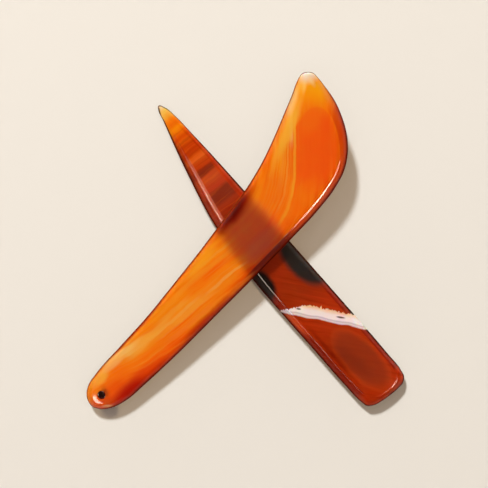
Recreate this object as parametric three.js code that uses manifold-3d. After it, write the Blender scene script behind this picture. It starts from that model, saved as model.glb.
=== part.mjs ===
// A pair of agate burnishers for polishing paper, gold leaf and lacquer, laid crossed on a table.
// Each one is a single piece of stone: a rounded edge all round, and a polished flat above and below.
// The pointed burnisher lies flat. The blade burnisher lies across it, leaning on the long edge of its
// upper flat, with the heel of its butt on the table.
// Millimetres, +Z up. The origin is on the table, under the pointed burnisher's middle line at the crossing.
import * as THREE from 'three';
import { mergeVertices } from 'three/addons/utils/BufferGeometryUtils.js';
import Module from 'manifold-3d';

const wasm = await Module();
wasm.setup();

const DEG = Math.PI / 180;

// How the pair lies
const POINTED_YAW = 128.34 * DEG; // the way its point looks, from +X
const CROSSING_X = 84; // along the pointed burnisher, from its butt
const LEAN = 5.76 * DEG; // of the blade burnisher, down towards its butt
const BLADE_YAW = -71.91 * DEG; // of the blade burnisher's length, from the pointed one's
const BUTT_REACH = 84.94; // from the edge leant on to the blade burnisher's butt, down the slope
const BUTT_BACK = -13.81; // of the same butt, along the pointed burnisher from the crossing
const REST_GAP = 0.3; // left between the two stones

// Pointed burnisher: even thickness from the butt to past the crossing, then falling faster and faster
const POINTED_LENGTH = 148.6;
const POINTED_THICKNESS = 8.0;
const POINTED_TAPER_FROM = 90;
const POINTED_TAPER_POWER = 1.5;
const POINTED_TIP_FLAT = 3.2; // thickness at the end of the upper flat
const POINTED_TIP_FLAT_X = 142;
const POINTED_TIP_EDGE = 1.1; // height of the widest line at the point
const POINTED_LEAN_EDGE_Y = 10.5; // the long edge of its upper flat, at the crossing

// Blade burnisher: thickness falls evenly from the butt to the blade's flat
const BLADE_LENGTH = 158.75;
const BLADE_BUTT_THICKNESS = 8.2;
const BLADE_TIP_THICKNESS = 6.0;
const BLADE_FINE_FROM = 118; // where its widest line begins to come down to the fine tip
const BLADE_TIP_EDGE = 1.5;
const CORD_HOLE = { x: 6.9, y: -0.6, radius: 1.1, rim: 1.6, rimDepth: 0.5 };

// Both stones
const WIDEST_AT = 0.47; // height of the widest line, as a share of the thickness
const SHOULDER_POWER = 1.7; // 1 is a plain chamfer, 2 is an ellipse
const UNDER_SHARE = 0.7; // shoulder width below, as a share of the one above
const STEPS_BETWEEN_POINTS = 3;
const UPPER_BANDS = 6;
const UNDER_BANDS = 4;

// Outline of the pointed burnisher. Each row holds a point of the widest line and the point of the upper
// flat's edge that belongs to it: x from the butt towards the point, y to the left.
const POINTED_OUTLINE = [
  [0.0, -0.6, 2.7, -0.6],
  [0.2, -5.4, 3.2, -4.8],
  [0.8, -8.1, 4.1, -6.7],
  [2.3, -9.7, 5.9, -7.6],
  [5.2, -10.4, 8.6, -8.1],
  [13.3, -10.3, 14.4, -8.0],
  [33.3, -9.5, 33.3, -7.1],
  [53.3, -8.5, 53.3, -6.1],
  [71.7, -7.5, 71.7, -5.1],
  [86.9, -6.6, 86.5, -4.2],
  [100.5, -5.7, 99.7, -3.5],
  [118.1, -4.6, 116.1, -2.7],
  [132.1, -3.5, 127.9, -1.9],
  [141.3, -2.6, 134.6, -1.3],
  [146.4, -1.5, 139.4, -0.5],
  [148.6, 0.2, 141.6, 0.5],
  [147.1, 1.3, 140.6, 1.2],
  [143.3, 2.2, 137.0, 1.8],
  [132.1, 5.1, 127.9, 3.2],
  [118.1, 8.3, 116.1, 5.5],
  [100.5, 11.7, 99.7, 8.4],
  [86.9, 13.0, 86.5, 9.9],
  [71.7, 13.7, 71.7, 10.5],
  [53.3, 13.1, 53.3, 10.2],
  [33.3, 12.0, 33.3, 9.5],
  [13.3, 10.9, 14.5, 8.4],
  [5.3, 10.1, 8.5, 7.5],
  [2.2, 9.1, 5.5, 6.3],
  [0.9, 7.0, 3.9, 4.6],
  [0.2, 3.4, 3.0, 2.2],
];

// Outline of the blade burnisher, in the same form. The spine is on the left, the belly on the right.
const BLADE_OUTLINE = [
  [0.0, 0.0, 3.6, -0.4],
  [0.5, -2.2, 4.0, -2.0],
  [2.1, -4.8, 5.3, -3.7],
  [5.2, -7.5, 7.8, -5.6],
  [10.4, -10.1, 12.2, -7.6],
  [18.8, -12.4, 19.6, -9.7],
  [35.0, -16.3, 35.0, -13.4],
  [59.2, -21.2, 59.0, -18.3],
  [83.1, -25.9, 82.8, -23.0],
  [99.0, -28.8, 98.4, -26.0],
  [114.7, -31.4, 113.8, -28.7],
  [126.4, -32.2, 124.8, -29.6],
  [133.8, -31.4, 131.4, -29.2],
  [140.0, -28.9, 136.8, -27.2],
  [145.8, -24.7, 141.4, -23.4],
  [150.4, -19.5, 145.0, -19.8],
  [154.4, -13.2, 147.7, -16.0],
  [156.9, -7.0, 149.0, -13.4],
  [158.2, -3.0, 149.4, -11.6],
  [158.75, 0.0, 149.3, -9.9],
  [156.2, 3.3, 147.2, -7.3],
  [152.4, 3.25, 144.6, -6.2],
  [147.4, 2.1, 140.6, -5.8],
  [139.0, 0.5, 135.0, -5.5],
  [130.0, -1.2, 127.6, -5.5],
  [118.2, -2.85, 117.4, -5.9],
  [106.0, -3.3, 105.6, -6.0],
  [90.7, -2.45, 90.5, -5.2],
  [74.8, -1.45, 74.6, -4.2],
  [58.8, 0.0, 58.5, -2.8],
  [42.7, 1.6, 42.4, -1.2],
  [26.5, 4.05, 26.2, 1.3],
  [12.0, 6.15, 12.8, 3.4],
  [6.2, 6.15, 8.0, 3.5],
  [3.0, 4.95, 5.6, 2.8],
  [0.9, 2.8, 4.2, 1.4],
];

// From one height to another between two places along the stone: evenly with a power of 1, later with more
function fall(x, fromX, toX, fromHeight, toHeight, power = 1) {
  const share = THREE.MathUtils.clamp((x - fromX) / (toX - fromX), 0, 1);
  return THREE.MathUtils.lerp(fromHeight, toHeight, share ** power);
}

const pointedTop = (x) => fall(
  x, POINTED_TAPER_FROM, POINTED_TIP_FLAT_X, POINTED_THICKNESS, POINTED_TIP_FLAT, POINTED_TAPER_POWER,
);
const pointedWidest = (x) => fall(
  x, POINTED_TAPER_FROM, POINTED_LENGTH, POINTED_THICKNESS * WIDEST_AT, POINTED_TIP_EDGE, POINTED_TAPER_POWER,
);

const bladeTop = (x) => fall(x, 0, BLADE_LENGTH, BLADE_BUTT_THICKNESS, BLADE_TIP_THICKNESS);
const bladeWidest = (x) =>
  fall(x, BLADE_FINE_FROM, BLADE_LENGTH, bladeTop(x) * WIDEST_AT, BLADE_TIP_EDGE);

// A closed smooth curve through points, read at the same steps between them on every curve
function closedRing(points) {
  const curve = new THREE.CatmullRomCurve3(points, true, 'centripetal');
  const count = points.length * STEPS_BETWEEN_POINTS;
  return Array.from({ length: count }, (_, i) => curve.getPoint(i / count));
}

// How far in from the widest line a shoulder has come, at a share of its height
function shoulderIn(share) {
  return 1 - (1 - share ** SHOULDER_POWER) ** (1 / SHOULDER_POWER);
}

// One stone: rings from the lower flat out to the widest line and in again to the upper flat, then the flats
function stone(outline, topAt, widestAt) {
  const widest = closedRing(outline.map(([x, y]) => new THREE.Vector3(x, y, 0)));
  const flat = closedRing(outline.map(([, , x, y]) => new THREE.Vector3(x, y, 0)));
  const count = widest.length;
  const rings = [];
  for (let band = UNDER_BANDS; band > 0; band -= 1) {
    const share = Math.sin((band / UNDER_BANDS) * 90 * DEG);
    rings.push(widest.map((edge, i) => {
      const point = edge.clone().lerp(flat[i], shoulderIn(share) * UNDER_SHARE);
      return point.setZ(widestAt(edge.x) * (1 - share));
    }));
  }
  for (let band = 0; band <= UPPER_BANDS; band += 1) {
    const share = Math.sin((band / UPPER_BANDS) * 90 * DEG);
    rings.push(widest.map((edge, i) => {
      const point = edge.clone().lerp(flat[i], shoulderIn(share));
      return point.setZ(THREE.MathUtils.lerp(widestAt(edge.x), topAt(flat[i].x), share));
    }));
  }
  const indices = [];
  for (let r = 0; r + 1 < rings.length; r += 1) {
    for (let i = 0; i < count; i += 1) {
      const next = (i + 1) % count;
      const [a, b, c, d] = [r * count + i, r * count + next, (r + 1) * count + next, (r + 1) * count + i];
      indices.push(a, b, c, a, c, d);
    }
  }
  // Each flat is closed by rungs from side to side, from the butt, which is the first point, to the tip
  const cap = (first, up) => {
    const triangle = (a, b, c) => indices.push(first + a, first + (up ? b : c), first + (up ? c : b));
    for (let i = 0; i < count / 2; i += 1) {
      const [right, left] = [i, (count - i) % count];
      if (i > 0) triangle(right, right + 1, left);
      if (left - 1 !== right + 1) triangle(right + 1, (left + count - 1) % count, left);
    }
  };
  cap(0, false);
  cap((rings.length - 1) * count, true);
  const geometry = new THREE.BufferGeometry().setFromPoints(rings.flat());
  geometry.setIndex(indices);
  return geometry;
}

function toSolid(geometry) {
  const bare = geometry.clone();
  bare.deleteAttribute('normal');
  bare.deleteAttribute('uv');
  const merged = mergeVertices(bare, 1e-4);
  return new wasm.Manifold(new wasm.Mesh({
    numProp: 3,
    vertProperties: new Float32Array(merged.attributes.position.array),
    triVerts: new Uint32Array(merged.index.array),
  }));
}

function toGeometry(solid) {
  const mesh = solid.getMesh();
  const geometry = new THREE.BufferGeometry();
  geometry.setAttribute('position', new THREE.BufferAttribute(mesh.vertProperties, 3));
  geometry.setIndex(new THREE.BufferAttribute(mesh.triVerts, 1));
  return geometry;
}

// What is drilled away for the cord hole: a straight bore, opened a little at both rims
function cordHoleCut() {
  const { x, y, radius, rim, rimDepth } = CORD_HOLE;
  const top = bladeTop(x);
  const past = 1;
  const flare = rim + ((rim - radius) / rimDepth) * past;
  const profile = [
    [0, -past], [flare, -past], [radius, rimDepth], [radius, top - rimDepth], [flare, top + past], [0, top + past],
  ].map(([r, z]) => new THREE.Vector2(r, z));
  return new THREE.LatheGeometry(profile, 32).rotateX(90 * DEG).translate(x, y, 0);
}

function agate(name, geometry, color) {
  const material = new THREE.MeshStandardMaterial({ color, roughness: 0.12, metalness: 0 });
  const mesh = new THREE.Mesh(geometry, material);
  mesh.name = name;
  return mesh;
}

const pointed = agate('pointed_burnisher', stone(POINTED_OUTLINE, pointedTop, pointedWidest), 0x9c2a10);

const bladeSolid = toSolid(stone(BLADE_OUTLINE, bladeTop, bladeWidest)).subtract(toSolid(cordHoleCut()));
const blade = agate('blade_burnisher', toGeometry(bladeSolid), 0xec6d14);
blade.position.set(BUTT_BACK, BUTT_REACH, 0);
blade.rotation.z = BLADE_YAW;

// The blade burnisher's group turns about the edge that it leans on
const leaning = new THREE.Group();
leaning.position.set(CROSSING_X, POINTED_LEAN_EDGE_Y, POINTED_THICKNESS + REST_GAP);
leaning.rotation.x = -LEAN;
leaning.add(blade);

const lying = new THREE.Group();
lying.position.set(-CROSSING_X * Math.cos(POINTED_YAW), -CROSSING_X * Math.sin(POINTED_YAW), 0);
lying.rotation.z = POINTED_YAW;
lying.add(pointed, leaning);

const pair = new THREE.Group();
pair.add(lying);

export default pair;
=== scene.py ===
# %% [markdown]
# # A pair of agate burnishers
#
# Agate is a banded, see-through stone. Cut, ground and polished, it makes the hard smooth tools that
# papermakers, gilders and lacquer workers rub a surface with until it shines. Here two of them lie crossed
# on pale plaster: a blade of bright orange agate with a hole for a cord, and below it a long point of deep
# red.
#
# The frame comes first. It holds the two stones as plain solids, in metres, +Z up, at the places they keep.
# Each gets a finer skin here, in the same place, and both skins are finished as polished agate.

# %% The frame
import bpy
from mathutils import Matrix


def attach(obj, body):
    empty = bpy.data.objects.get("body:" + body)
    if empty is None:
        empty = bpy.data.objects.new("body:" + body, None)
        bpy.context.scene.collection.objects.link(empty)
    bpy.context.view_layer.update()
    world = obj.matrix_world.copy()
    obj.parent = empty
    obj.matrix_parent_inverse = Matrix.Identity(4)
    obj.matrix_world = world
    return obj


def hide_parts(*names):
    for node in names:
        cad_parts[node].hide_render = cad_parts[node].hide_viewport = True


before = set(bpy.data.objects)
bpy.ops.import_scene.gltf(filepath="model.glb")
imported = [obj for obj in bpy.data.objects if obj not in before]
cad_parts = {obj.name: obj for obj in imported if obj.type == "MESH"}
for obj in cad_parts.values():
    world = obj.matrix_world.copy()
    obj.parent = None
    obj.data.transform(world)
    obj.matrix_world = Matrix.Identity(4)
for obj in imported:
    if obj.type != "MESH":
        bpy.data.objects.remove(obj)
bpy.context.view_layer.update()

# %% Modules, and the unit that the stones are drawn in
import math

import bmesh
import bpy
from mathutils import Matrix, Vector, geometry

MM = 0.001
print("one millimetre is", MM, "of the scene's units")


# %% [markdown]
# ## The camera
#
# The picture is taken from straight above, so the camera looks down with its head to the far side. Its
# height and lens are chosen together: at the height of the stones' middle, one pixel of the picture is
# 0.4 mm. A far camera with a long lens would flatten the stones, and this one stands about half a metre off,
# where someone would hold it.

# %% Camera
IMAGE_SIDE = 488  # pixels
PIXEL = 0.4 * MM
SENSOR = 36.0  # mm across
CAMERA_HEIGHT = 542 * MM
MIDDLE_HEIGHT = 4 * MM
LOOKED_AT = (-5.76 * MM, -5.0 * MM)

camera_data = bpy.data.cameras.new("camera")
camera_data.sensor_width = SENSOR
camera_data.lens = SENSOR * (CAMERA_HEIGHT - MIDDLE_HEIGHT) / (IMAGE_SIDE * PIXEL)
camera_data.clip_start = 10 * MM
camera = bpy.data.objects.new("camera", camera_data)
camera.location = (*LOOKED_AT, CAMERA_HEIGHT)
bpy.context.scene.collection.objects.link(camera)
bpy.context.scene.camera = camera
print(f"camera {CAMERA_HEIGHT:.3f} m up, lens {camera_data.lens:.1f} mm")


# %% [markdown]
# ## The form of a ground stone
#
# A burnisher is ground from a slab. It keeps a flat above and one below, and its whole edge is rounded
# over, so that nothing scratches the work. A block with bevelled edges would be quicker, but all its
# shoulders would be alike, and on a hand-ground stone they widen and narrow.
#
# So each stone is drawn as two closed outlines: its widest line, and the edge of its upper flat. Each row
# of a table below holds a point of the first and the point of the second that belongs to it. Every stone is
# drawn along its own X axis, from the butt to the tip, in millimetres.

# %% Outlines of the pointed stone: widest line x, y, then upper flat x, y
POINTED_OUTLINE = [
    (0.0, -0.6, 2.7, -0.6),
    (0.2, -5.4, 3.2, -4.8),
    (0.8, -8.1, 4.1, -6.7),
    (2.3, -9.7, 5.9, -7.6),
    (5.2, -10.4, 8.6, -8.1),
    (13.3, -10.3, 14.4, -8.0),
    (33.3, -9.5, 33.3, -7.1),
    (53.3, -8.5, 53.3, -6.1),
    (71.7, -7.5, 71.7, -5.1),
    (86.9, -6.6, 86.5, -4.2),
    (100.5, -5.7, 99.7, -3.5),
    (118.1, -4.6, 116.1, -2.7),
    (132.1, -3.5, 127.9, -1.9),
    (141.3, -2.6, 134.6, -1.3),
    (146.4, -1.5, 139.4, -0.5),
    (148.6, 0.2, 141.6, 0.5),
    (147.1, 1.3, 140.6, 1.2),
    (143.3, 2.2, 137.0, 1.8),
    (132.1, 5.1, 127.9, 3.2),
    (118.1, 8.3, 116.1, 5.1),
    (100.5, 11.7, 99.7, 7.7),
    (86.9, 13.0, 86.5, 9.3),
    (71.7, 13.7, 71.7, 10.0),
    (53.3, 13.1, 53.3, 9.7),
    (33.3, 12.0, 33.3, 8.9),
    (13.3, 10.9, 14.5, 7.8),
    (5.3, 10.1, 8.5, 7.0),
    (2.2, 9.1, 5.5, 6.3),
    (0.9, 7.0, 3.9, 4.6),
    (0.2, 3.4, 3.0, 2.2),
]
print(f"{len(POINTED_OUTLINE)} rows for the pointed stone")

# %% Outlines of the blade, in the same order: the belly is on the right, the spine on the left
BLADE_OUTLINE = [
    (0.0, 0.0, 3.6, -0.4),
    (0.5, -2.2, 4.0, -2.0),
    (2.1, -4.8, 5.3, -3.7),
    (5.2, -7.5, 7.8, -5.6),
    (10.4, -10.1, 12.2, -7.6),
    (18.8, -12.4, 19.6, -9.7),
    (35.0, -16.3, 35.0, -13.4),
    (59.2, -21.2, 59.0, -18.3),
    (83.1, -25.9, 82.8, -22.8),
    (99.0, -28.8, 98.4, -25.7),
    (114.7, -31.4, 113.8, -28.2),
    (126.4, -32.2, 124.8, -29.0),
    (133.8, -31.4, 131.4, -28.7),
    (140.0, -28.9, 136.8, -26.9),
    (145.8, -24.7, 141.4, -23.4),
    (150.4, -19.5, 145.0, -19.8),
    (154.4, -13.2, 147.7, -16.0),
    (156.9, -7.0, 149.0, -13.4),
    (158.2, -3.0, 149.4, -11.6),
    (158.75, 0.0, 149.3, -9.9),
    (156.2, 3.3, 147.2, -7.3),
    (152.4, 3.25, 144.6, -6.2),
    (147.4, 2.1, 140.6, -5.8),
    (139.0, 0.5, 135.0, -5.5),
    (130.0, -1.2, 127.6, -5.5),
    (118.2, -2.85, 117.4, -5.9),
    (106.0, -3.3, 105.6, -6.0),
    (90.7, -2.45, 90.5, -5.2),
    (74.8, -1.45, 74.6, -4.2),
    (58.8, 0.0, 58.5, -2.8),
    (42.7, 1.6, 42.4, -1.2),
    (26.5, 4.05, 26.2, 1.3),
    (12.0, 6.15, 12.8, 3.4),
    (6.2, 6.15, 8.0, 3.5),
    (3.0, 4.95, 5.6, 2.8),
    (0.9, 2.8, 4.2, 1.4),
]
print(f"{len(BLADE_OUTLINE)} rows for the blade")

# %% Thicknesses along each stone
WIDEST_AT = 0.47  # height of the widest line, as a share of the thickness
UNDER_SHARE = 0.7  # shoulder width below, as a share of the one above
SLAB = 8.0  # thickness of the pointed stone's butt half
THINS_FROM = 90
POINTED_END = 148.6
BLADE_END = 158.75


def between(x, from_x, to_x, start, end, power=1.0):
    """From start to end as x goes from one place to the other. With a power above 1 most comes late."""
    share = min(max((x - from_x) / (to_x - from_x), 0.0), 1.0)
    return start + (end - start) * share**power


def pointed_top(x):
    return between(x, THINS_FROM, 142, SLAB, 3.2, 1.5)


def pointed_widest(x):
    return between(x, THINS_FROM, POINTED_END, SLAB * WIDEST_AT, 1.1, 1.5)


def blade_top(x):
    return between(x, 0, BLADE_END, 8.2, 6.0)


def blade_widest(x):
    return between(x, 118, BLADE_END, blade_top(x) * WIDEST_AT, 1.5)


print(f"the pointed stone is {pointed_top(0):.1f} mm thick, the blade {blade_top(0):.1f} mm at its butt")


# %% [markdown]
# ## How the stones lie
#
# The pointed stone lies flat on the table. The blade lies across it and leans, because it rests on only two
# places: the long edge of the other's flat, and the heel of its own butt. Each could be an object that is
# moved and turned. Here one matrix a stone turns its own millimetres into places in the scene, and it goes
# into the mesh. The same matrix the other way round later tells the materials where they are on the stone.

# %% Where each stone lies
POINTED_YAW = math.radians(128.34)
CROSSING_X = 84.0  # along the pointed stone
LEANS_ON_Y = 10.5  # on the pointed stone, near the long edge of its flat
LEAN = math.radians(5.76)
REST_GAP = 0.3  # between the two stones
BLADE_YAW = math.radians(-71.91)
BLADE_BUTT = (-13.81, 84.94, 0.0)  # from the edge that it leans on

to_metres = Matrix.Scale(MM, 4)
pointed_place = (
    to_metres
    @ Matrix.Rotation(POINTED_YAW, 4, "Z")
    @ Matrix.Translation((-CROSSING_X, 0, 0))
)
blade_place = (
    pointed_place
    @ Matrix.Translation((CROSSING_X, LEANS_ON_Y, pointed_top(CROSSING_X) + REST_GAP))
    @ Matrix.Rotation(-LEAN, 4, "X")
    @ Matrix.Translation(BLADE_BUTT)
    @ Matrix.Rotation(BLADE_YAW, 4, "Z")
)
print("the blade's butt lies at", [round(v, 4) for v in blade_place.translation], "m")


# %% [markdown]
# ## The skin of a stone
#
# A subdivided block would spread its faces evenly. Here the skin is one grid of quads, wrapped round the two
# outlines like cling film. Its columns run round the stone, and its rows run from the middle line of the
# underside out to the widest line, and in again to the middle line of the top. That puts close rows of faces
# where the shoulder bends most, which is where a polished stone shows its highlights.
#
# Every point also gets three marks that say where on the stone it lies, because painted shade, such as a
# dark rim along the edge or a belly redder than the spine, follows the form and not a place in the room.
#
# The cord hole could be cut with a boolean, which leaves long thin faces that show in a polished surface.
# So the skin's first and last rings open to a circle round it, and a wall joins the two circles.

# %% A closed smooth curve through points
STEPS = 8  # points from one row of an outline's table to the next


def direction(before, here, after):
    """The way a curve goes through a point, led by the nearer of its neighbours."""
    came, goes = here - before, after - here
    return (came / came.length**2 + goes / goes.length**2).normalized()


def smooth_ring(points):
    ring = []
    for i in range(len(points)):
        before, here, there, after = (points[(i + k) % len(points)] for k in (-1, 0, 1, 2))
        reach = (there - here).length / 3
        leave = here + direction(before, here, there) * reach
        arrive = there - direction(here, there, after) * reach
        ring += geometry.interpolate_bezier(here, leave, arrive, there, STEPS + 1)[:-1]
    return ring


corners = [Vector((1, 1, 0)), Vector((-1, 1, 0)), Vector((-1, -1, 0)), Vector((1, -1, 0))]
reaches = [point.length for point in smooth_ring(corners)]
print(f"through a square's corners, the curve is {min(reaches):.2f} to {max(reaches):.2f} from the middle")

# %% How round a shoulder is
ROUND = 1.7  # 1 is a straight slope, 2 a quarter of an ellipse


def shoulder_in(share, power):
    """How far in from the widest line a shoulder has come, at a share of its height."""
    return 1 - (1 - share**power) ** (1 / power)


print(f"half way up, a shoulder has come in by {shoulder_in(0.5, ROUND):.2f} of its width")

# %% Where the skin starts and ends: on the middle line of a flat, and round a cord hole
BUTT_SPARE, TIP_SPARE = 5, 3  # how far the middle line stops short of the flat's ends


def middle_line(flat):
    """The points halfway across a flat."""
    middle = [(flat[i] + flat[-i]) / 2 for i in range(len(flat))]
    first_x, last_x = flat[0].x + BUTT_SPARE, max(p.x for p in flat) - TIP_SPARE
    kept = [m for m in middle if first_x < m.x < last_x]
    first, last = min(kept, key=lambda m: m.x), max(kept, key=lambda m: m.x)
    return [first if m.x <= first_x else last if m.x >= last_x else m for m in middle]


def open_for_hole(middle, hole):
    """Opens the butt's end of a middle line to a circle."""
    columns = hole["columns"]
    for i in range(-columns, columns + 1):
        angle = math.pi * (1 + i / columns)
        middle[i] = hole["centre"] + Vector((math.cos(angle), math.sin(angle), 0)) * hole["radius"]


print(f"a middle line starts {BUTT_SPARE} mm inside its flat and ends {TIP_SPARE} mm before the flat does")

# %% The rings of places that the skin is laid over
# Twelve rows go into the two or three millimetres of an upper shoulder, and only four into half a flat.
CROWN = 0.12  # held by hand against the lap, a flat comes out a little higher in its middle
FLAT_ROWS = 4
LOWER_ROWS = 8
UPPER_ROWS = 12


def skin_rows(edge, flat, middle, top_at, widest_at, round_at):
    """From the middle of the underside to the middle of the top: how far in a ring lies, and the ring.

    A ring lies 0 in on the widest line, 1 on the edge of a flat and 2 on its middle line. It is a list of
    places with their heights.
    """
    rows = []
    for row in range(FLAT_ROWS):
        share = 1 - row / FLAT_ROWS
        ring = [(e.lerp(f, UNDER_SHARE).lerp(m, share), 0.0) for e, f, m in zip(edge, flat, middle)]
        rows.append((1 + share, ring))
    for row in range(LOWER_ROWS):
        share = math.cos(math.pi / 2 * row / LOWER_ROWS)
        ring = [
            (e.lerp(f, shoulder_in(share, round_at(e.x)) * UNDER_SHARE), widest_at(e.x) * (1 - share))
            for e, f in zip(edge, flat)
        ]
        rows.append((shoulder_in(share, ROUND), ring))
    for row in range(UPPER_ROWS):
        share = math.sin(math.pi / 2 * row / UPPER_ROWS)
        ring = [
            (
                e.lerp(f, shoulder_in(share, round_at(e.x))),
                widest_at(e.x) + (top_at(f.x) - widest_at(e.x)) * share,
            )
            for e, f in zip(edge, flat)
        ]
        rows.append((shoulder_in(share, ROUND), ring))
    for row in range(FLAT_ROWS + 1):
        share = row / FLAT_ROWS
        crown = CROWN * (1 - (1 - share) ** 2)
        ring = [(f.lerp(m, share), top_at(f.lerp(m, share).x) + crown) for f, m in zip(flat, middle)]
        rows.append((1 + share, ring))
    return rows


print(f"{2 * FLAT_ROWS + LOWER_ROWS + UPPER_ROWS + 1} rings, from the middle below to the middle above")

# %% The sheet of quads, and the marks on its points
MARKS = ("inward", "from_edge", "span")
FROM_EDGE_BELOW = 0.15  # a millimetre down from the widest line counts as this much further in
MERGE_WITHIN = 0.002  # mm


def lay_skin(bm, rows, edge, widest_at):
    """Lays a grid over the rings, closes it where its borders meet and marks its points.

    inward is how far in the ring lies, from_edge the millimetres from the widest line, and span goes from 0
    on the left side of the stone to 1 on the right.
    """
    inward, from_edge, span = (bm.verts.layers.float.new(mark) for mark in MARKS)
    columns = len(edge)
    bmesh.ops.create_grid(bm, x_segments=columns, y_segments=len(rows) - 1, size=1)
    bm.verts.ensure_lookup_table()
    for index, vert in enumerate(bm.verts):
        row, column = divmod(index, columns + 1)
        how_far_in, ring = rows[row]
        spot, height = ring[column % columns]
        vert.co = (spot.x, spot.y, height)
        near, far = ((spot - edge[k % columns]).length for k in (column, -column))
        below = max(widest_at(edge[column % columns].x) - height, 0.0)
        share = near / max(near + far, 0.001)
        vert[inward] = how_far_in
        vert[from_edge] = near + below * FROM_EDGE_BELOW
        vert[span] = 1 - share if column % columns < columns / 2 else share
    bmesh.ops.remove_doubles(bm, verts=bm.verts, dist=MERGE_WITHIN)


print("marks on every point:", ", ".join(MARKS))

# %% The wall of a cord hole, with both rims opened so that they don't cut the cord
RIM_MARKS = (2.0, 4.4, 0.5)  # as on the flat beside the hole


def wall_hole(bm, hole):
    rims = [e for e in bm.edges if e.is_boundary]
    bmesh.ops.bridge_loops(bm, edges=rims)
    opened = bmesh.ops.bevel(
        bm, geom=rims, offset=hole["flare"], segments=4, profile=0.5, affect="EDGES", material=-1
    )
    flare = set(opened["faces"])
    for rim in {e for f in flare for e in f.edges}:
        rim.smooth = all(f in flare for f in rim.link_faces)
    for vert in {v for f in flare for v in f.verts}:
        for mark, value in zip(MARKS, RIM_MARKS):
            vert[bm.verts.layers.float[mark]] = value


print("marks on an opened rim:", RIM_MARKS)


# %% A whole stone
def ground_stone(name, outline, top_at, widest_at, round_at, place, hole=None):
    edge = smooth_ring([Vector((x, y, 0)) for x, y, _, _ in outline])
    flat = smooth_ring([Vector((x, y, 0)) for _, _, x, y in outline])
    middle = middle_line(flat)
    if hole:
        open_for_hole(middle, hole)
    bm = bmesh.new()
    lay_skin(bm, skin_rows(edge, flat, middle, top_at, widest_at, round_at), edge, widest_at)
    if hole:
        wall_hole(bm, hole)
    bmesh.ops.recalc_face_normals(bm, faces=bm.faces)
    bmesh.ops.transform(bm, matrix=place, verts=bm.verts)
    for face in bm.faces:
        face.smooth = True
    mesh = bpy.data.meshes.new(name)
    bm.to_mesh(mesh)
    bm.free()
    stone = bpy.data.objects.new(name, mesh)
    bpy.context.scene.collection.objects.link(stone)
    print(f"{name}: {len(mesh.vertices)} points, {len(mesh.polygons)} faces")
    return stone


# %% The pointed stone
def pointed_round(x):
    return ROUND


pointed = ground_stone(
    "pointed_stone", POINTED_OUTLINE, pointed_top, pointed_widest, pointed_round, pointed_place
)
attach(pointed, "pointed")
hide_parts("pointed_burnisher")

# %% The blade, a little fuller in its shoulders towards the butt, with its cord hole
HOLE = (6.9, -0.6)
HOLE_RADIUS = 1.1


def blade_round(x):
    return between(x, 40, 100, 1.9, 1.75)


blade = ground_stone(
    "blade_stone", BLADE_OUTLINE, blade_top, blade_widest, blade_round, blade_place,
    hole={"centre": Vector((*HOLE, 0)), "radius": HOLE_RADIUS, "columns": 28, "flare": 0.4},
)
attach(blade, "blade")
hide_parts("blade_burnisher")


# %% [markdown]
# ## Agate as a material
#
# Agate is quartz laid down in thin bands, each with its own stain of iron. Light goes into it, is coloured
# on its way and comes out again, so it glows where something pale lies behind it and is dark where nothing
# does. A painted, opaque shader would give the bands and lose that glow, and plain glass would show the
# table through the stone as sharp as through a window. So the body here is a mix: part of the light goes
# through and is blurred, as by the tiny crystals, and the rest scatters just under the surface.
#
# The colour pattern is read in the stone's own millimetres, so that it goes right through. Over it lies a
# clear coat with the IOR of quartz. It is the polish, and it keeps the highlights sharp over a soft body.

# %% Colours and nodes
def linear(hex_colour):
    """An sRGB hex colour as Blender's linear red, green, blue and alpha."""
    values = [int(hex_colour[i : i + 2], 16) / 255 for i in (1, 3, 5)]
    return (*(v / 12.92 if v <= 0.04045 else ((v + 0.055) / 1.055) ** 2.4 for v in values), 1.0)


def add(tree, kind, inputs=None, stops=None, points=None, **settings):
    """Adds a node. Each input is set to a value, or linked to another node's output."""
    node = tree.nodes.new("ShaderNode" + kind)
    for key, value in settings.items():
        setattr(node, key, value)
    for key, value in (inputs or {}).items():
        if isinstance(value, bpy.types.NodeSocket):
            tree.links.new(value, node.inputs[key])
        else:
            node.inputs[key].default_value = value
    if stops:
        elements = node.color_ramp.elements
        while len(elements) < len(stops):
            elements.new(1.0)
        for element, (position, colour) in zip(elements, stops):
            element.position, element.color = position, linear(colour)
    if points:
        curve = node.mapping.curves[0]
        while len(curve.points) < len(points):
            curve.points.new(1.0, 1.0)
        for point, location in zip(curve.points, points):
            point.location = location
        node.mapping.update()
    return node


def new_material(name):
    material = bpy.data.materials.new(name)
    material.use_nodes = True
    material.node_tree.nodes.clear()
    return material, material.node_tree


print("pure orange, linear:", [round(v, 3) for v in linear("#FF8000")])


# %% Places on a stone
def stone_millimetres(tree, place):
    """Object coordinates turned to the stone's own millimetres: x from the butt, y to the left, z up."""
    into = place.inverted()
    coordinates = add(tree, "TexCoord")
    return add(tree, "Mapping", {
        "Vector": coordinates.outputs["Object"],
        "Location": into.to_translation(),
        "Rotation": into.to_euler(),
        "Scale": into.to_scale(),
    }, vector_type="POINT").outputs[0]


def wandering(tree, spot, size, reach):
    """Places moved to and fro by a soft noise, so that no border is a drawn line."""
    noise = add(tree, "TexNoise", {
        "Vector": spot, "Scale": 1 / size, "Detail": 3.0, "Roughness": 0.55
    })
    centred = add(tree, "VectorMath", {0: noise.outputs["Color"], 1: (0.5, 0.5, 0.5)}, operation="SUBTRACT")
    moved = add(tree, "VectorMath", {0: centred.outputs[0], "Scale": reach * 2}, operation="SCALE")
    return add(tree, "VectorMath", {0: spot, 1: moved.outputs[0]}, operation="ADD").outputs[0]


print("the middle of the scene, on the blade:", [round(v, 1) for v in blade_place.inverted().translation])


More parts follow.
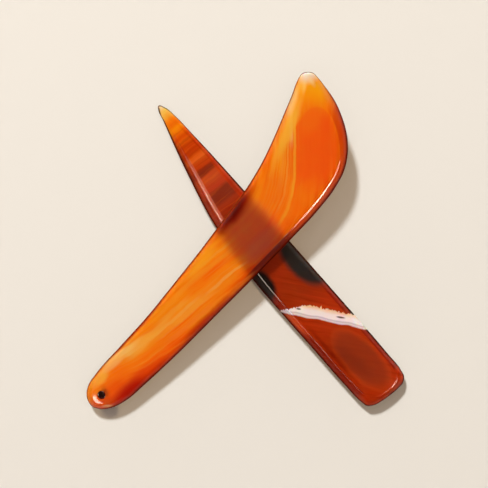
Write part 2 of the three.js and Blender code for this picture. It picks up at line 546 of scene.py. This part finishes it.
# %% The marks on a stone's skin, and noise drawn out along its bands
def skin_marks(tree):
    """What lay_skin wrote on the points: inward, from_edge and span."""
    return [add(tree, "Attribute", attribute_name=mark).outputs["Fac"] for mark in MARKS]


def banded_noise(tree, along, across, z, length, width, depth, detail):
    """Noise drawn out along the bands. length, width and depth are its streaks' size in millimetres."""
    place = add(tree, "CombineXYZ", {0: along, 1: across, 2: z}).outputs[0]
    drawn_out = add(tree, "Mapping", {
        "Vector": place, "Scale": (1 / length, 1 / width, 1 / depth)
    }).outputs[0]
    return add(tree, "TexNoise", {
        "Vector": drawn_out, "Scale": 1.0, "Detail": detail, "Roughness": 0.6
    }).outputs[0]


# %% Masks: they say where on a stone a colour or the polish goes, from 0 to 1
def window(tree, value, rise, fall=None):
    """1 between a rise and a fall, each a pair of values with a soft step between them."""
    up = add(tree, "MapRange", {
        "Value": value, "From Min": rise[0], "From Max": rise[1]
    }, interpolation_type="SMOOTHSTEP").outputs[0]
    if fall is None:
        return up
    return overlap(tree, up, window(tree, value, (fall[1], fall[0])))


def overlap(tree, mask, *others):
    """The place where every mask is 1. A plain number among them makes the rest weaker."""
    for other in others:
        mask = add(tree, "Math", {0: mask, 1: other}, operation="MULTIPLY").outputs[0]
    return mask


def either(tree, mask, *others):
    """The place where any of the masks is 1."""
    for other in others:
        mask = add(tree, "Math", {0: mask, 1: other}, operation="ADD").outputs[0]
    return mask


# %% A soft oval, and a colour laid over another
RIGHT_THROUGH = 1000  # mm, far more than any stone is thick


def patch(tree, spot, centre, radii, turn=0.0, edge=1.0):
    """A soft oval on the stone, right through it. edge is the share of its radius that fades."""
    inside = add(tree, "Mapping", {
        "Vector": spot,
        "Location": (*centre, 0),
        "Rotation": (0, 0, math.radians(turn)),
        "Scale": (*radii, RIGHT_THROUGH),
    }, vector_type="TEXTURE")
    ball = add(tree, "TexGradient", {0: inside.outputs[0]}, gradient_type="SPHERICAL")
    return window(tree, ball.outputs[1], (0.0, edge))


def layer(tree, under, over, mask, strength=1.0):
    """A colour laid over another where a mask is 1."""
    share = add(tree, "Math", {0: mask, 1: strength}, operation="MULTIPLY", use_clamp=True).outputs[0]
    over = linear(over) if isinstance(over, str) else over
    under = linear(under) if isinstance(under, str) else under
    return add(tree, "Mix", {0: share, 6: under, 7: over}, data_type="RGBA").outputs[2]


# %% The polish, and the body of the stone that lets light through
QUARTZ_IOR = 1.54
RED_GOES_FURTHEST = (1.0, 0.35, 0.12)  # how far red, green and blue light get under the skin


def worn_polish(tree, from_edge, duller, most, least):
    """How much the polish shows: in full on the flats, not on the widest line, little where duller is 1."""
    polish = add(tree, "MapRange", {"Value": duller, "To Min": most, "To Max": least}).outputs[0]
    off_the_edge = add(tree, "MapRange", {"Value": from_edge, "From Min": 0.7, "From Max": 1.9}).outputs[0]
    return overlap(tree, polish, off_the_edge)


def clear_inside(tree, from_edge, murky, most):
    """How far the stone lets the eye through: not at its widest line, and not where it is murky."""
    clear = add(tree, "MapRange", {
        "Value": from_edge, "From Min": 0.3, "From Max": 1.1, "To Max": most
    }).outputs[0]
    return overlap(tree, clear, window(tree, murky, (1.0, 0.0)))


def finish_agate(material, colour, polish, clear, passes, blur, scatter, gloss):
    """Joins the pattern to the shaders.

    passes is the light that comes through on to the table. blur is the roughness inside the stone and gloss
    that of the polish. scatter is in millimetres.
    """
    tree = material.node_tree
    body = add(tree, "BsdfPrincipled", {
        "Base Color": colour,
        "Roughness": blur,
        "IOR": QUARTZ_IOR,
        "Specular IOR Level": 0.0,
        "Specular Tint": linear("#000000"),
        "Transmission Weight": clear,
        "Subsurface Weight": 1.0,
        "Subsurface Radius": RED_GOES_FURTHEST,
        "Subsurface Scale": scatter * MM,
        "Coat Weight": polish,
        "Coat Roughness": gloss,
        "Coat IOR": QUARTZ_IOR,
    }).outputs[0]
    through = add(tree, "BsdfTransparent", {"Color": passes}).outputs[0]
    path = add(tree, "LightPath").outputs
    lit = add(tree, "MixShader", {0: path["Is Shadow Ray"], 1: body, 2: through}).outputs[0]
    mix = add(tree, "MixShader", {0: path["Is Diffuse Ray"], 1: lit, 2: through}).outputs[0]
    add(tree, "OutputMaterial", {"Surface": mix})
    print(f"{material.name}: {len(tree.nodes)} nodes")


# %% [markdown]
# ## The blade: orange agate
#
# The blade is cut from carnelian, agate that iron stains orange. The spine is the yellow side and the
# belly the red one. This is partly the stone's own colour and partly painted light and shade: the spine
# faces the lamp and is painted lighter, and the belly is painted darker. Pale bands run along it in a long
# curve, like grain in a bent board. They could be a stretched noise alone, but the eye knows where a band
# starts and ends. So the fine grain is noise drawn out along that curve, and the bands that stand out are
# laid in one by one. Beyond the crossing lies a round red heart, where the flat cuts through a red layer.
# The thinned tip lets light through and is painted almost white, partly as clear stone and partly as painted
# glow.
#
# At the rounded edge the eye's way through the stone is bent sideways and is far longer than on the flat,
# so the stone looks darker there. That darkening is painted as shade: a narrow dark rim, red at the belly
# and brown at the spine, and darker red shoulders on the belly, away from the lamp. It makes the orange read
# as glassy depth.

# %% Orange agate: places, and the line that its bands follow
orange, tree = new_material("orange agate, polished")
spot = stone_millimetres(tree, blade_place)
loose = wandering(tree, spot, size=9.0, reach=0.9)
x, y, z = add(tree, "SeparateXYZ", {0: loose}).outputs
inward, from_edge, span = skin_marks(tree)

BLADE_LENGTH = 160  # rounded up, so that its bands end past the tip
LOWEST, HIGHEST = -30, 20  # y at the foot and the top of the curve's square
BAND_LINE = [
    (0, 12), (19, 4.3), (25, 1), (35, -3), (45, -6.5), (60, -10.5), (75, -15), (90, -19.5), (104, -22),
    (112, -20.5), (120, -17), (130, -11), (138, -5.5), (146, -0.5), (160, 7),
]
along = add(tree, "MapRange", {"Value": x, "From Max": BLADE_LENGTH}).outputs[0]
line = add(tree, "FloatCurve", {"Value": along}, points=[
    (px / BLADE_LENGTH, (py - LOWEST) / (HIGHEST - LOWEST)) for px, py in BAND_LINE
]).outputs[0]
line_y = add(tree, "MapRange", {"Value": line, "To Min": LOWEST, "To Max": HIGHEST}).outputs[0]
# across is how far a place lies to the left of the line
across = add(tree, "Math", {0: y, 1: line_y}, operation="SUBTRACT").outputs[0]
print(f"the bands follow a line of {len(BAND_LINE)} points")

# %% Orange agate: from the yellow spine to the red belly, partly painted light and shade, and the soft bands
# painted light and shade over the stone's own colour: the spine, towards the lamp, lighter and more yellow;
# the belly, away from it, a darker red
colour = add(tree, "ValToRGB", {0: span}, stops=[
    (0.0, "#F07A00"), (0.12, "#FF9410"), (0.3, "#FF8408"), (0.55, "#FF7206"), (0.8, "#F86404"),
    (0.9, "#DC4A00"), (1.0, "#A81C00"),
]).outputs[0]
broad = banded_noise(tree, x, across, z, length=45, width=6, depth=20, detail=2.0)
middling = banded_noise(tree, x, across, z, length=26, width=2.6, depth=12, detail=2.0)
fine = banded_noise(tree, x, across, z, length=34, width=1.3, depth=9, detail=4.0)
SOFT_BANDS = [
    (broad, (0.5, 0.3), "#FC5800", 0.6),
    (broad, (0.52, 0.7), "#FF9C10", 0.5),
    (middling, (0.5, 0.66), "#FF9A14", 0.5),
    (middling, (0.46, 0.32), "#F85400", 0.5),
    (fine, (0.52, 0.7), "#FFA628", 0.5),
    (fine, (0.48, 0.32), "#F45000", 0.45),
]
for noise, step, tint, strength in SOFT_BANDS:
    colour = layer(tree, colour, tint, window(tree, noise, step), strength)
print(f"{len(SOFT_BANDS)} soft layers of three sizes")

# %% Orange agate: the red heart on the flat, and hair-fine lines where the bands crowd above it
tip = overlap(tree, window(tree, x, (140, 150)), window(tree, y, (-17, -8)))
colour = layer(tree, colour, "#FF9408", tip, 0.85)
heart = patch(tree, loose, (134.5, -15.7), (21.5, 12.5), 31, 0.45)
heart = overlap(tree, heart, window(tree, inward, (0.95, 1.15)))
colour = layer(tree, colour, "#F85A0C", heart, 0.85)
hair = banded_noise(tree, x, across, z, length=60, width=0.7, depth=9, detail=1.0)
crowd = patch(tree, loose, (121, -10.5), (28, 8.5), 27, 0.6)
colour = layer(tree, colour, "#FFAA28", overlap(tree, crowd, window(tree, hair, (0.5, 0.62))), 0.6)
colour = layer(tree, colour, "#F06808", overlap(tree, crowd, window(tree, hair, (0.48, 0.38))), 0.4)
print(f"{orange.name}: {len(tree.nodes)} nodes so far")

# %% Orange agate: pale streaks. Place across, half width, where x starts and ends, colour, strength
STREAKS = [
    (0.2, 2.8, (14, 19), (32, 44), "#FFAC34", 0.95),
    (0.8, 1.9, (15, 19), (28, 37), "#FFC468", 0.9),
    (-1.2, 0.8, (22, 27), (34, 40), "#FFBC64", 0.8),
    (-1.2, 2.6, (26, 38), (58, 74), "#FF9420", 0.7),
    (-0.7, 0.9, (33, 38), (56, 64), "#FFAC40", 0.95),
    (1.9, 1.5, (40, 47), (54, 62), "#FFA62C", 0.8),
    (-2.6, 1.6, (42, 50), (60, 70), "#FFA02C", 0.8),
    (-3.4, 0.6, (34, 42), (60, 70), "#FF9C30", 0.6),
    (-1.6, 0.8, (62, 68), (80, 86), "#FFAC48", 0.9),
    (-6.4, 1.2, (36, 44), (58, 66), "#FF9028", 0.5),
    (6.0, 1.4, (48, 58), (80, 90), "#FF9C20", 0.6),
    (8.6, 0.7, (60, 66), (84, 90), "#FFA430", 0.7),
    (0.0, 0.8, (100, 106), (140, 146), "#FFAC28", 0.9),
    (3.2, 0.6, (102, 110), (140, 150), "#FFA834", 0.65),
    (5.4, 0.8, (108, 118), (138, 150), "#FFA02C", 0.65),
    (9.4, 0.5, (112, 122), (140, 150), "#FFA838", 0.6),
    (1.8, 1.2, (128, 136), (150, 156), "#FFC470", 0.9),
]
for middle, half, rise, fall, tint, strength in STREAKS:
    third = half / 3
    streak = window(tree, across, (middle - half, middle - third), (middle + third, middle + half))
    colour = layer(tree, colour, tint, overlap(tree, streak, window(tree, x, rise, fall)), strength)
print(f"{len(STREAKS)} streaks")

# %% Orange agate: stained patches, with painted shade over the crossing and a painted highlight at the butt. Centre, radii, turn, colour, strength
STAINS_AND_PAINTED_LIGHT = [
    ((15, -1.6), (13, 7.0), -10, "#FF6A00", 0.6),
    ((11, -4.0), (8, 5.0), -10, "#F04C00", 0.6),
    ((74, -4.8), (13, 2.8), -3, "#FFA820", 0.7),
    ((12, 3.4), (6.0, 2.8), -8, "#FFB03C", 0.9),
    ((19, 2.4), (7.0, 1.8), -22, "#FFC070", 0.7),
    ((31, -3.2), (9.0, 2.0), -14, "#FFB040", 0.6),
    ((126, -6.6), (14, 2.6), 12, "#FFA020", 0.5),
    ((3.5, -2.5), (5.5, 6.5), 0, "#D83C04", 0.7),
    ((20, -10.6), (20, 5.4), -16, "#E03800", 0.8),
    ((14, -10.2), (15, 5.4), -20, "#B81400", 1.0),
    ((28, -14.6), (14, 3.2), -14, "#C02400", 0.9),
    ((58, -20.9), (22, 4.0), -13, "#A81800", 1.0),
    # painted shade: browner, and along the spine dark red, where the pointed stone lies under the blade
    ((93.7, -14), (13, 20), -19, "#DC6448", 0.6),
    ((92, -20), (11.5, 5), -10, "#D07058", 0.35),
    ((112, -12.5), (10, 6.0), 15, "#F86A10", 0.4),
    ((97, -3.4), (17.5, 5.8), -4, "#B01000", 0.95),
    ((96.5, -2.9), (13.5, 3.8), -4, "#700600", 0.95),
    ((116, -23.5), (14, 4.5), 0, "#FF7808", 0.5),
    ((136, -4.3), (18, 2.8), 12, "#FFB838", 0.8),
    ((143, -9.4), (8, 5.0), 20, "#FF7C10", 0.45),
    ((39, -4.4), (12, 2.0), -14, "#FFB03C", 0.6),
    # a painted highlight: a cream streak along the butt's lower rim, where the rounded edge gathers light
    ((4.4, -5.0), (2.6, 0.8), -52, "#FFD8A8", 0.9),
    ((145, 0.2), (8, 2.2), 13, "#FFC470", 0.9),
]
for centre, radii, turn, tint, strength in STAINS_AND_PAINTED_LIGHT:
    colour = layer(tree, colour, tint, patch(tree, loose, centre, radii, turn, 0.65), strength)
# the thinned tip: amber, then yellow at the spine, then almost clear at its end; the pale end is partly
# clear stone and partly painted glow of light through it
for centre, radii, turn, tint, strength in (
    ((154.0, -3.5), (7, 9.5), 0, "#FFA806", 0.9),
    ((152.5, 1.0), (6, 3.4), 10, "#FFC23C", 0.7),
    ((152.5, -0.4), (4.6, 1.2), 27, "#FFD070", 0.7),
    ((157.8, 1.6), (6.0, 5.4), 0, "#FFF6E8", 1.0),
    ((155.8, -1.2), (3.8, 1.4), 61, "#FFDC98", 0.7),
):
    colour = layer(tree, colour, tint, patch(tree, loose, centre, radii, turn), strength)
print(f"{len(STAINS_AND_PAINTED_LIGHT)} stains and a clear tip")

# %% Orange agate: red shoulders and the dark rim, painted as shade
short_of_tip = window(tree, x, (158, 148))
right_half = window(tree, span, (0.5, 0.7))
spine = overlap(tree, window(tree, span, (0.3, 0.2)), window(tree, x, (20, 28), (44, 60)))
belly = overlap(tree, right_half, window(tree, y, (-11, -19)))
butt_belly = overlap(tree, right_half, window(tree, x, (40, 20)))
shoulder = overlap(tree, belly, window(tree, inward, (0.98, 0.8)), window(tree, x, (74, 84)))
rim_shade = overlap(tree, short_of_tip, window(tree, from_edge, (0.95, 0.15)))
tip_rim_shade = overlap(tree, window(tree, x, (150, 156)), window(tree, from_edge, (0.5, 0.15)))
tip_belly = overlap(tree, right_half, window(tree, x, (140, 150)), window(tree, y, (-3, -13)))
shoulder_shade_tint = layer(tree, "#680600", "#C83A04", window(tree, x, (100, 108)))
# painted shade: the belly's shoulders, away from the lamp, in a darker red, nearly black-red where the
# pointed stone lies under them, and a dark rim along the edge and round the tip
for mask, tint, strength in (
    (overlap(tree, spine, window(tree, from_edge, (1.5, 0.7))), "#A41800", 0.9),
    (overlap(tree, tip_belly, window(tree, from_edge, (2.6, 0.6))), "#C03C06", 0.75),
    (shoulder, shoulder_shade_tint, 0.9),
    (overlap(tree, belly, window(tree, from_edge, (1.8, 0.4))), "#8A1200", 0.9),
    (overlap(tree, butt_belly, window(tree, from_edge, (1.6, 0.4))), "#8A1200", 0.8),
    (overlap(tree, short_of_tip, window(tree, from_edge, (1.2, 0.4))), "#B02800", 0.8),
    (rim_shade, "#5C2006", 1.0),
    (overlap(tree, rim_shade, right_half), "#681404", 1.0),
    (tip_rim_shade, "#33200C", 1.0),
):
    colour = layer(tree, colour, tint, mask, strength)
print(f"{orange.name}: {len(tree.nodes)} nodes with its rind")

# %% Orange agate: the cord hole, and where the polish is less. The drill left the hole's wall rough, and its wall and rim are painted dark as shade in the hole.
# painted shade in the cord hole: its wall and rim are dark
shaded_hole_wall = patch(tree, spot, HOLE, (1.9, 1.9), 0, 0.25)
colour = layer(tree, colour, "#2A0602", shaded_hole_wall)
passes = layer(tree, "#C0B2A0", "#4A1C0C", patch(tree, spot, HOLE, (4.5, 4.5), 0, 0.5))
# the belly is brightest where it has rubbed the most, round x = 124
rubbed = window(tree, x, (104, 124), (125, 131))
belly_side = overlap(tree, window(tree, span, (0.75, 0.9)), window(tree, x, (4, 10)))
unused_belly = overlap(tree, belly_side, window(tree, rubbed, (1.0, 0.0)))
spine_side = overlap(tree, window(tree, span, (0.3, 0.1)), window(tree, x, (12, 20), (130, 145)))
butt_corner = overlap(tree, window(tree, y, (1.2, 2.6)), window(tree, x, (19, 13)))
duller = either(tree, butt_corner, overlap(tree, unused_belly, 0.75), overlap(tree, spine_side, 0.7))
polish = worn_polish(tree, from_edge, duller, most=1.0, least=0.1)
clear = clear_inside(tree, from_edge, murky=shaded_hole_wall, most=0.75)
finish_agate(orange, colour, polish, clear, passes, blur=0.5, scatter=1.4, gloss=0.09)
blade.data.materials.append(orange)


# %% [markdown]
# ## The pointed stone: red agate
#
# This stone is a deeper, less clear red. Its growth lines run two ways, beside the white vein in the butt
# half and straight across in the pointed half. There each band has a colour of its own, so a colour ramp
# runs along the stone. Under the blade it is painted a darker red, as shade. It ends in amber and cream,
# partly the thin point's own colour and partly painted glow of light through it.
#
# The white vein is a crack that filled with quartz. One side of it is smooth and grey, where it started to
# fill. On the other the crystals grew into the red in a ragged fringe. The vein gets coordinates of its own,
# turned to its slant, so that both sides can be drawn by their distance from its smooth one. Black, white
# and amber in one deep red stone are what make the eye read it as cut from nature.

# %% Red agate: places, and the bands along the stone
red, tree = new_material("red agate, polished")
spot = stone_millimetres(tree, pointed_place)
loose = wandering(tree, spot, size=6.0, reach=0.7)
x, y, z = add(tree, "SeparateXYZ", {0: loose}).outputs
inward, from_edge, span = skin_marks(tree)

POINTED_LENGTH = 150  # rounded up
# painted shade and light along the ramp: darker red from 76 to 94 mm, where the blade lies over the stone,
# and a pale end partly painted as glow through the thin point
POINTED_BANDS = [
    (0, "#D04210"), (4, "#BC3408"), (30, "#BA380A"), (45, "#BC360A"), (56, "#A8340A"), (66, "#B0340A"),
    (76, "#8A2004"), (94, "#8A2004"), (98, "#AC3210"), (101, "#B43A16"), (102.5, "#94341C"),
    (107, "#98361C"), (108.5, "#C44020"), (112, "#CC5424"), (114.5, "#CC5020"), (115.3, "#90321A"),
    (117, "#983418"), (118, "#C84410"), (121, "#D04E10"), (122, "#EC7424"), (124, "#D8560E"),
    (125, "#C43C06"), (129, "#D44C08"), (131, "#E46C0C"), (132.5, "#DC4C04"), (135, "#F47808"),
    (137, "#FF9C0A"), (138.5, "#F07408"), (141, "#FF8C10"), (143, "#FFB43C"), (146, "#FFCC68"),
    (148.5, "#FFF4D4"),
]
along = add(tree, "MapRange", {"Value": x, "From Max": POINTED_LENGTH}).outputs[0]
colour = add(tree, "ValToRGB", {0: along}, stops=[
    (place / POINTED_LENGTH, tint) for place, tint in POINTED_BANDS
]).outputs[0]
print(f"{len(POINTED_BANDS)} colours along the pointed stone")

# %% Red agate: fine growth lines, beside the vein in the butt half and across the stone in the other
VEIN_START = (26.5, -9.6)
VEIN_SLANT = 40.3
beside_vein = add(tree, "Mapping", {
    "Vector": loose, "Location": (*VEIN_START, 0), "Rotation": (0, 0, math.radians(VEIN_SLANT))
}, vector_type="TEXTURE").outputs[0]
# vein_x runs along the vein, vein_y away from its smooth side and towards the butt
vein_x, vein_y, _ = add(tree, "SeparateXYZ", {0: beside_vein}).outputs
butt_half = window(tree, x, (75, 65))
point_half = window(tree, x, (92, 100))
butt_lines = banded_noise(tree, vein_x, vein_y, z, length=30, width=1.6, depth=8, detail=3.0)
point_lines = banded_noise(tree, y, x, z, length=26, width=1.3, depth=8, detail=2.0)
for half, lines, step, tint, strength in (
    (butt_half, butt_lines, (0.5, 0.75), "#D84410", 0.5),
    (butt_half, butt_lines, (0.5, 0.3), "#941E00", 0.5),
    (point_half, point_lines, (0.52, 0.7), "#FF7A1C", 0.2),
    (point_half, point_lines, (0.48, 0.3), "#8C1E00", 0.3),
):
    colour = layer(tree, colour, tint, overlap(tree, half, window(tree, lines, step)), strength)
print(f"the vein starts at {VEIN_START} mm and slants by {VEIN_SLANT} degrees")

# %% Red agate: a brown heart in the butt with a lighter line round it, and a red streak on its left
for centre, radii, turn, edge, tint, strength in (
    ((18.4, -0.4), (17.4, 7.8), 5, 0.12, "#DC5A1C", 0.3),
    ((18.8, -0.4), (17.0, 7.4), 5, 0.35, "#8C3016", 0.6),
    ((21.5, 2.8), (18, 4.6), 14, 0.9, "#7C2812", 0.45),
    ((27, 7.3), (20, 1.5), 3, 0.8, "#7A0C00", 0.6),
):
    colour = layer(tree, colour, tint, patch(tree, loose, centre, radii, turn, edge), strength)
print(f"{red.name}: {len(tree.nodes)} nodes so far")

# %% Red agate: the shoulders, painted a deeper red than the flat as shade, with a painted highlight and a dark rim on the left
shaded_shoulders = overlap(tree, window(tree, inward, (1.04, 0.9)), window(tree, x, (6, 9), (124, 140)))
right = window(tree, span, (0.5, 0.6))
left = window(tree, span, (0.5, 0.4))
right_side = overlap(
    tree, right, window(tree, from_edge, (3.3, 2.9)), point_half, window(tree, x, (142, 134))
)
# a painted highlight: a lighter pink band along the left shoulder, where the strip lamp's line falls
painted_left_highlight = overlap(
    tree, left, window(tree, inward, (0.56, 0.78), (1.0, 1.12)), window(tree, x, (88, 96), (112, 128))
)
left_rim_shade = overlap(tree, left, window(tree, from_edge, (1.8, 0.8)))
# painted light and shade: the shoulders a deeper red, the right one a little lighter in the pointed half; on
# the left a pink band under its highlight, a lighter red streak beside the vein's top where the highlight
# runs, and a dark rim down the thin tip half
for mask, tint, strength in (
    (overlap(tree, shaded_shoulders, window(tree, x, (100, 92))), "#8A1402", 0.8),
    (overlap(tree, shaded_shoulders, point_half), "#A02404", 0.55),
    (right_side, "#DC3C02", 0.4),
    (painted_left_highlight, "#F09478", 0.65),
    (overlap(tree, left_rim_shade, window(tree, x, (92, 128), (147, 149))), "#5A2002", 0.9),
    (overlap(tree, left_rim_shade, window(tree, x, (130, 138), (146, 149))), "#2A0E00", 1.0),
    (patch(tree, loose, (46, 10.6), (10, 1.8), 4, 0.8), "#F0602C", 0.8),
):
    colour = layer(tree, colour, tint, mask, strength)
print(f"{red.name}: {len(tree.nodes)} nodes with its shoulders")

# %% Red agate: black patches of manganese beside the crossing, and a dark rim painted as shade. Centre, radii, colour
BLACKS = [
    ((65.2, -8.6), (15.8, 9.8), "#362D29"),
    ((66.5, 14.0), (9.5, 7.4), "#241814"),
    ((35.5, -9.6), (2.4, 1.2), "#241814"),
]
for centre, radii, tint in BLACKS:
    colour = layer(tree, colour, tint, patch(tree, loose, centre, radii, 0, 0.3))
# painted shade: a dark rim along the whole edge, darker on the right
colour = layer(tree, colour, "#480E02", window(tree, from_edge, (0.95, 0.15)))
right_rim_shade = overlap(tree, right, window(tree, from_edge, (1.1, 0.3)))
colour = layer(tree, colour, "#2E0A02", right_rim_shade, 0.8)
print(f"{len(BLACKS)} black patches")

# %% Red agate: the white vein. It keeps its width for 26 mm and runs out 10 mm further on
VEIN_WIDTH = 4.9
VEIN_NARROWS = (26.0, 36.0)
FRINGE = 1.5  # how far a crystal reaches out of the vein, or falls short
width = add(tree, "MapRange", {
    "Value": vein_x,
    "From Min": VEIN_NARROWS[0],
    "From Max": VEIN_NARROWS[1],
    "To Min": VEIN_WIDTH,
    "To Max": 0.2,
}).outputs[0]
crystals = banded_noise(tree, vein_x, vein_y, z, length=0.8, width=4, depth=6, detail=3.0)
ragged = add(tree, "MapRange", {
    "Value": crystals, "To Min": -FRINGE, "To Max": FRINGE
}, clamp=False).outputs[0]
fringed_width = add(tree, "Math", {0: width, 1: ragged}, operation="ADD").outputs[0]
far_side = add(tree, "Math", {0: vein_y, 1: fringed_width}, operation="ADD").outputs[0]
vein = overlap(tree, window(tree, vein_y, (0.1, -0.25)), window(tree, far_side, (-0.15, 0.15)))
into_vein = add(tree, "MapRange", {"Value": vein_y, "From Max": -5.0}).outputs[0]
milk = add(tree, "ValToRGB", {0: into_vein}, stops=[
    (0.0, "#B89494"), (0.12, "#ECDEE0"), (0.22, "#D0BEC4"), (0.34, "#FAECEC"), (0.66, "#F8E8E6"),
    (0.9, "#F8D0AC"),
]).outputs[0]
colour = layer(tree, colour, milk, vein, 0.97)
for centre, radii in (((37.0, -4.4), (2.3, 0.5)), ((50.0, 6.6), (1.3, 0.5))):
    flaw = patch(tree, spot, centre, radii, 43, 0.6)
    colour = layer(tree, colour, "#4A2620", flaw, 0.9)
print(f"a vein {VEIN_WIDTH} mm wide, with two dark flaws")

# %% Red agate: where the polish is less. Of the butt end only a short stretch is bright
beside_bright = either(tree, window(tree, y, (-3.4, -2.0)), window(tree, y, (-5.8, -7.0)))
butt_end = overlap(tree, beside_bright, window(tree, x, (9, 6)))
held = overlap(tree, window(tree, x, (8, 14), (54, 60)), window(tree, y, (4, 6)))
seldom_used = window(tree, x, (96, 124))
duller = either(tree, butt_end, overlap(tree, held, 0.8), overlap(tree, seldom_used, 0.85))
polish = worn_polish(tree, from_edge, duller, most=0.55, least=0.1)
clear = clear_inside(tree, from_edge, murky=overlap(tree, vein, 0.7), most=0.4)
passes = linear("#A89A8A")
finish_agate(red, colour, polish, clear, passes, blur=0.3, scatter=1.2, gloss=0.12)
pointed.data.materials.append(red)


# %% [markdown]
# ## The floor
#
# Pale plaster, matt and a little warm. It does half the work on these stones, because they glow with the
# light that it sends up through them. A small floor would end in a dark horizon in the low views, so its
# border sweeps up on all sides, as a photographer's paper backdrop does.
#
# A real stone also gathers light and throws it on the floor under it. The renderer follows a lamp's light in
# straight lines only and leaves that out, so where the floor is seen through a stone it is made to glow as
# bright as white paper.

# %% The floor's form
FLOOR_REACH = 3.0
FLAT_REACH = 2.0
SWEEP = 0.9  # height gained in the first metre past the flat middle
FLOOR_GAP = 0.1 * MM  # under the stones
FLOOR_PARTS = 48  # quads along a side

bm = bmesh.new()
bmesh.ops.create_grid(bm, x_segments=FLOOR_PARTS, y_segments=FLOOR_PARTS, size=FLOOR_REACH)
for vert in bm.verts:
    beyond = max(vert.co.length - FLAT_REACH, 0.0)
    vert.co.z = SWEEP * beyond**2 - FLOOR_GAP
for face in bm.faces:
    face.smooth = True
floor_mesh = bpy.data.meshes.new("floor")
bm.to_mesh(floor_mesh)
bm.free()
floor = bpy.data.objects.new("floor", floor_mesh)
bpy.context.scene.collection.objects.link(floor)
print(f"floor {FLOOR_REACH * 2:.0f} m wide, flat for {FLAT_REACH:.0f} m round the stones")

# %% Plaster: so matt that only the stones on it shine
plaster, tree = new_material("pale plaster, matt")
surface = add(tree, "BsdfPrincipled", {
    "Base Color": linear("#E9E5E0"), "Roughness": 0.9, "Specular IOR Level": 0.2
}).outputs[0]
glow = add(tree, "Emission", {"Color": linear("#FFFFFF"), "Strength": 1.0}).outputs[0]
path = add(tree, "LightPath").outputs
not_bounced = add(tree, "Math", {0: path["Diffuse Depth"], 1: 0.5}, operation="LESS_THAN").outputs[0]
seen_through = overlap(tree, path["Is Transmission Ray"], not_bounced)
both = add(tree, "MixShader", {0: seen_through, 1: surface, 2: glow}).outputs[0]
add(tree, "OutputMaterial", {"Surface": both})
floor_mesh.materials.append(plaster)
print(f"{plaster.name}: {len(tree.nodes)} nodes")


# %% [markdown]
# ## The light
#
# One small warm lamp stands in for low sun and throws the shadows, and a wide weak one overhead softens
# them. Both are hidden from reflections. Polished stone shows lamps as bright shapes, and the shapes that
# belong here are long thin lines along the shoulders. So two strip lamps give only those, low enough on
# either side that no flat mirrors them to someone who looks straight down.

# %% Lamps
def lamp(name, azimuth, elevation, distance, size, power, colour):
    """An area lamp that looks at the stones. Azimuth 0 is the far side, and it grows clockwise."""
    data = bpy.data.lights.new(name, "AREA")
    data.shape = "RECTANGLE"
    data.size, data.size_y = size
    data.energy = power
    data.color = linear(colour)[:3]
    a, e = math.radians(azimuth), math.radians(elevation)
    away = Vector((math.sin(a) * math.cos(e), math.cos(a) * math.cos(e), math.sin(e)))
    light = bpy.data.objects.new(name, data)
    light.location = Vector((*LOOKED_AT, 0)) + away * distance
    light.rotation_euler = away.to_track_quat("Z", "Y").to_euler()
    bpy.context.scene.collection.objects.link(light)
    print(f"{name}: {power} W")
    return light


sun = lamp("sun", azimuth=-22, elevation=50, distance=3.0, size=(0.3, 0.3), power=93, colour="#FFFAF2")
sky = lamp("sky", azimuth=-22, elevation=88, distance=1.6, size=(1.6, 1.6), power=4.6, colour="#FFF4E6")
right_strip = lamp(
    "right_strip", azimuth=122, elevation=54, distance=1.0, size=(0.44, 0.34), power=17.0, colour="#FFEAD0"
)
left_strip = lamp(
    "left_strip", azimuth=240, elevation=54, distance=1.0, size=(0.74, 0.22), power=8.0, colour="#FFEEDC"
)
sun.visible_glossy = False
sky.visible_glossy = sky.visible_transmission = False
for strip in (right_strip, left_strip):
    strip.visible_diffuse = strip.visible_transmission = False

# %% The room: dim all round, and pale where it is seen through a stone
ROOM_STRENGTH = 0.05
SEEN_THROUGH = 1.0
room = bpy.data.worlds.new("room")
room.use_nodes = True
tree = room.node_tree
tree.nodes.clear()
path = add(tree, "LightPath").outputs
strength = add(tree, "MapRange", {
    "Value": path["Is Transmission Ray"], "To Min": ROOM_STRENGTH, "To Max": SEEN_THROUGH
}).outputs[0]
walls = add(tree, "Background", {"Color": linear("#FFF4E8"), "Strength": strength}).outputs[0]
add(tree, "OutputWorld", {"Surface": walls})
bpy.context.scene.world = room
bpy.context.scene.view_settings.view_transform = "Standard"
print(f"room at {ROOM_STRENGTH}, seen through a stone at {SEEN_THROUGH}")
